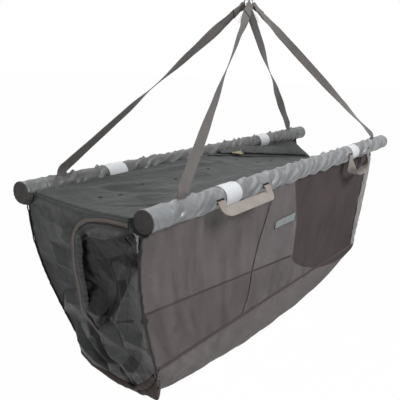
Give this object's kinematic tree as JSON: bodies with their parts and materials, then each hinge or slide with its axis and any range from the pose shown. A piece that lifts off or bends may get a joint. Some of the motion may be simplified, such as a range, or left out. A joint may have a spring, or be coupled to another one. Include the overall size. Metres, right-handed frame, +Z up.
{
  "type": "weigh sling",
  "caption": "Floating weigh sling for fish: a zipped mesh trough between two foam-filled fabric poles, hanging by webbing straps from steel rings",
  "frame": {"origin": "where the hook holds the sling: inside the tops of the two rings", "axes": "+X along the poles toward the plain end, +Y across from the front pole to the back pole, +Z up"},
  "size_m": [1.2112, 0.3704, 0.8669],
  "materials": {
    "pole_tube": "drawn tube",
    "plug_plastic": "moulded",
    "float_foam": "closed-cell foam",
    "sleeve_fabric": "coated woven polyester, slight sheen",
    "cuff_fabric": "coated woven polyester, drawn smooth",
    "disc_fabric": "woven polyester",
    "band_reflective": "pale reflective tape",
    "strap_webbing": "flat woven webbing",
    "handle_webbing": "flat woven webbing",
    "ring_steel": "welded round wire",
    "wall_mesh": "fine knitted mesh",
    "floor_mesh": "fine knitted mesh",
    "end_fabric": "woven polyester",
    "lid_fabric": "woven polyester, matte",
    "zip_coil": "nylon coil",
    "zip_metal": "cast and painted, satin",
    "tab_tan": "folded webbing tab",
    "label_woven": "woven label, left bare"
  },
  "bodies": {
    "sling": {"pole_front": "pole_tube", "pole_back": "pole_tube", "plug_front_left": "plug_plastic", "plug_front_right": "plug_plastic", "plug_back_left": "plug_plastic", "plug_back_right": "plug_plastic", "float_front": "float_foam", "float_back": "float_foam", "sleeve_front": "sleeve_fabric", "sleeve_back": "sleeve_fabric", "cuff_front_left": "cuff_fabric", "cuff_front_right": "cuff_fabric", "cuff_back_left": "cuff_fabric", "cuff_back_right": "cuff_fabric", "disc_front_left": "disc_fabric", "disc_front_right": "disc_fabric", "disc_back_left": "disc_fabric", "disc_back_right": "disc_fabric", "band_front_left": "band_reflective", "band_front_right": "band_reflective", "band_back_left": "band_reflective", "band_back_right": "band_reflective", "strap_front_left": "strap_webbing", "strap_front_right": "strap_webbing", "strap_back_left": "strap_webbing", "strap_back_right": "strap_webbing", "loop_front_left_inner": "handle_webbing", "loop_front_left_outer": "handle_webbing", "loop_front_right_inner": "handle_webbing", "loop_front_right_outer": "handle_webbing", "loop_back_left_inner": "handle_webbing", "loop_back_left_outer": "handle_webbing", "loop_back_right_inner": "handle_webbing", "loop_back_right_outer": "handle_webbing", "wall_front": "wall_mesh", "wall_back": "wall_mesh", "floor_mesh": "floor_mesh", "end_left": "end_fabric", "end_right": "end_fabric", "rear_flap": "lid_fabric", "zip_placket": "lid_fabric", "wall_label": "label_woven"},
    "front_ring": {"ring_front": "ring_steel"},
    "back_ring": {"ring_back": "ring_steel"},
    "front_left_handle": {"handle_front_left": "handle_webbing"},
    "front_right_handle": {"handle_front_right": "handle_webbing"},
    "back_left_handle": {"handle_back_left": "handle_webbing"},
    "back_right_handle": {"handle_back_right": "handle_webbing"},
    "lid": {"lid_panel": "lid_fabric", "lid_zip": "zip_coil"},
    "door": {"door_panel": "end_fabric"},
    "lid_slider": {"lid_slider": "zip_metal"},
    "lid_tab": {"lid_tab": "tab_tan"}
  },
  "joints": [
    {"name": "front_ring_turn", "type": "hinge", "parent": "sling", "child": "front_ring", "pos_m": [0, -0.00674, -0.009], "axis": [0, 0.9093, -0.4161], "continuous": true},
    {"name": "back_ring_turn", "type": "hinge", "parent": "sling", "child": "back_ring", "pos_m": [0, 0.00554, -0.00946], "axis": [0, 0.9554, 0.2952], "continuous": true},
    {"name": "front_left_handle_swing", "type": "hinge", "parent": "sling", "child": "front_left_handle", "pos_m": [-0.3072, -0.19105, -0.3833], "axis": [-1, 0, 0], "range_deg": [0, 95]},
    {"name": "front_right_handle_swing", "type": "hinge", "parent": "sling", "child": "front_right_handle", "pos_m": [0.3513, -0.19105, -0.3833], "axis": [-1, 0, 0], "range_deg": [0, 140]},
    {"name": "back_left_handle_swing", "type": "hinge", "parent": "sling", "child": "back_left_handle", "pos_m": [-0.3621, 0.13705, -0.3833], "axis": [1, 0, 0], "range_deg": [0, 140]},
    {"name": "back_right_handle_swing", "type": "hinge", "parent": "sling", "child": "back_right_handle", "pos_m": [0.4218, 0.13705, -0.3833], "axis": [1, 0, 0], "range_deg": [0, 140]},
    {"name": "lid_lift", "type": "hinge", "parent": "sling", "child": "lid", "pos_m": [0.0153, -0.14695, -0.3813], "axis": [1, 0, 0], "range_deg": [0, 60]},
    {"name": "door_swing", "type": "hinge", "parent": "sling", "child": "door", "pos_m": [-0.58952, -0.1391, -0.403], "axis": [-0.3063, -0.2014, 0.9304], "range_deg": [0, 100]},
    {"name": "lid_slider_run", "type": "slide", "parent": "lid", "child": "lid_slider", "axis": [0.9865, -0.1062, -0.1247], "range_m": [-0.104, 0.421]},
    {"name": "lid_tab_turn", "type": "hinge", "parent": "lid_slider", "child": "lid_tab", "pos_m": [0.09165, 0.07322, -0.38841], "axis": [-0.1071, -0.9943, 0], "range_deg": [0, 170]}
  ]
}
